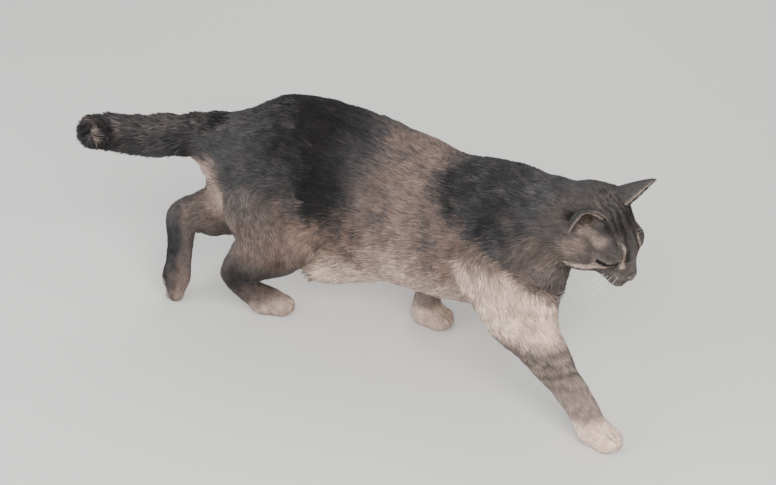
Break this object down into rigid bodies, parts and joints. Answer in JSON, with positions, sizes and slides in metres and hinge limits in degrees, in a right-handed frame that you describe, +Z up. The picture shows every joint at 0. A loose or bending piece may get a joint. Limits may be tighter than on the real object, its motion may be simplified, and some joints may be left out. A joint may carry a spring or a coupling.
{
  "type": "cat",
  "caption": "Life-size still model of a domestic cat in mid walk, head low and turned a little, one forepaw stretched out ahead, tail straight out behind with a curled tip.",
  "frame": {"origin": "on the floor, under the middle of the model's box", "axes": "+X forward towards the head, +Y to the cat's left, +Z up"},
  "size_m": [0.6754, 0.2704, 0.2671],
  "materials": {
    "coat": "short plush fur, blue-grey over fawn, matt",
    "pale_coat": "short soft fur, cream, matt",
    "eye": "wet and clear",
    "nose_leather": "bare skin, fine grained, slightly damp",
    "bare_skin": "bare skin of the pads, lids, lips and inside of the ears, matt",
    "claw": "smooth horn",
    "whisker": "smooth stiff hair"
  },
  "bodies": {
    "root": {"forepaw_right": "pale_coat", "forearm_right": "coat", "upper_foreleg_right": "coat", "hind_foot_right": "pale_coat", "shank_right": "coat", "thigh_right": "coat", "forepaw_left": "pale_coat", "forearm_left": "coat", "upper_foreleg_left": "coat", "hind_foot_left": "pale_coat", "shank_left": "coat", "thigh_left": "coat", "head": "coat", "neck": "coat", "tail_tip": "coat", "tail_end": "coat", "tail_middle": "coat", "tail_root": "coat", "rump": "coat", "belly": "pale_coat", "chest": "coat", "ear_right": "coat", "eye_right": "eye", "ear_left": "coat", "eye_left": "eye", "nose": "nose_leather"}
  },
  "joints": []
}
